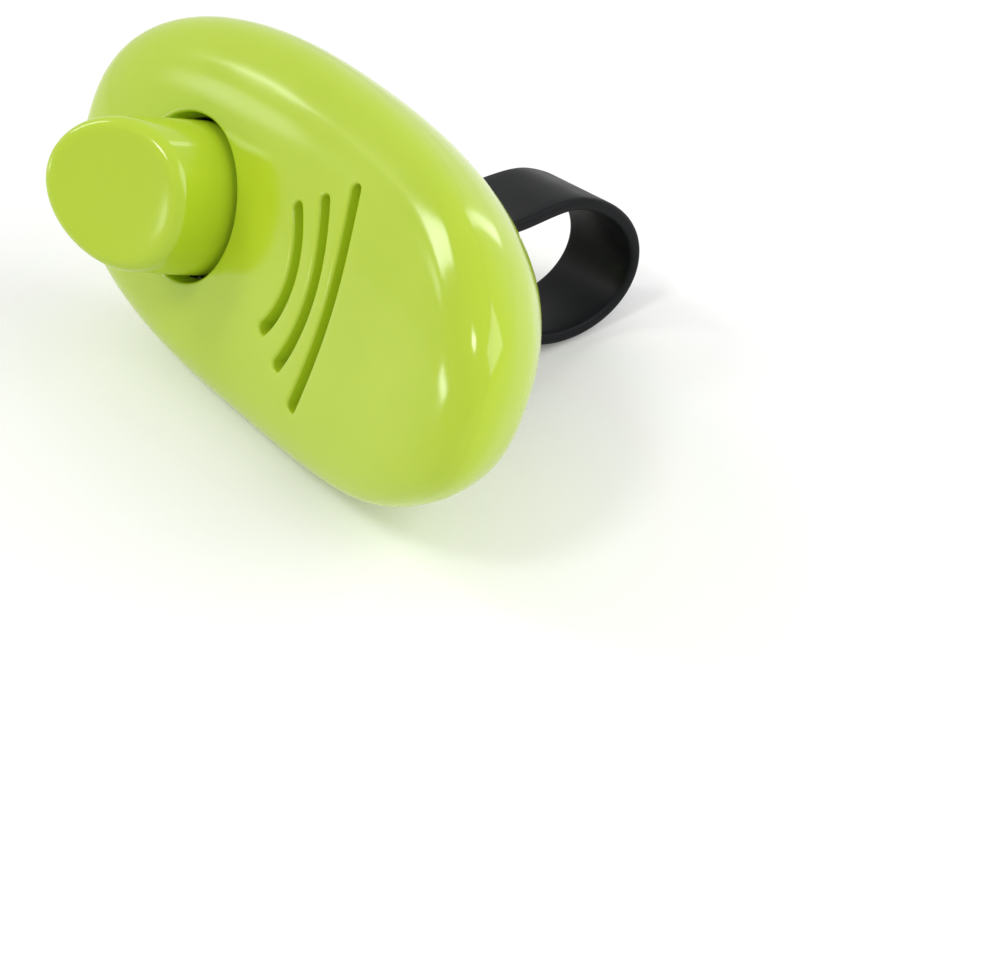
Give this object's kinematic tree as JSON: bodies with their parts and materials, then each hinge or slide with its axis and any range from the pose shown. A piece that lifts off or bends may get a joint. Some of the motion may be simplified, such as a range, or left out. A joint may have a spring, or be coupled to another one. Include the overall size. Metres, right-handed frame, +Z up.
{
  "type": "finger clicker",
  "caption": "Finger-worn training clicker: bean-shaped housing with a slanted push button over a click spring, curved sound slots, and an elastic finger strap hooked under a tongue in the back.",
  "frame": {"origin": "under the middle of the bounding box, on the table that the part lies on", "axes": "+X along the housing from the button end to the tail; +Z up with the part lying on its side; the front and its button face -Y and a little up, and the strap points to +Y and a little down"},
  "size_m": [0.06, 0.0442, 0.0288],
  "materials": {
    "front_shell": "glossy moulded",
    "back_shell": "glossy moulded",
    "push_button": "glossy moulded",
    "finger_strap": "satin",
    "click_leaf": "spring steel",
    "leaf_clamp": "plain",
    "leaf_screw_1": "plain",
    "leaf_screw_2": "plain"
  },
  "bodies": {
    "housing": {"front_shell": "front_shell", "back_shell": "back_shell", "finger_strap": "finger_strap", "leaf_clamp": "leaf_clamp", "leaf_screw_1": "leaf_screw_1", "leaf_screw_2": "leaf_screw_2"},
    "button": {"push_button": "push_button"},
    "leaf": {"click_leaf": "click_leaf"}
  },
  "joints": [
    {"name": "button_press", "type": "slide", "parent": "housing", "child": "button", "axis": [0, 0.9214, -0.3885], "range_m": [0, 0.0012], "stiffness_N_per_m": 4000},
    {"name": "leaf_flex", "type": "hinge", "parent": "housing", "child": "leaf", "pos_m": [-0.0114, -0.01193, 0.0059], "axis": [-1, 0, 0], "range_deg": [0, 7.3]}
  ],
  "couplings": [
    {"joint": "leaf_flex", "follows": "button_press", "rad_per_m": 105.26}
  ]
}
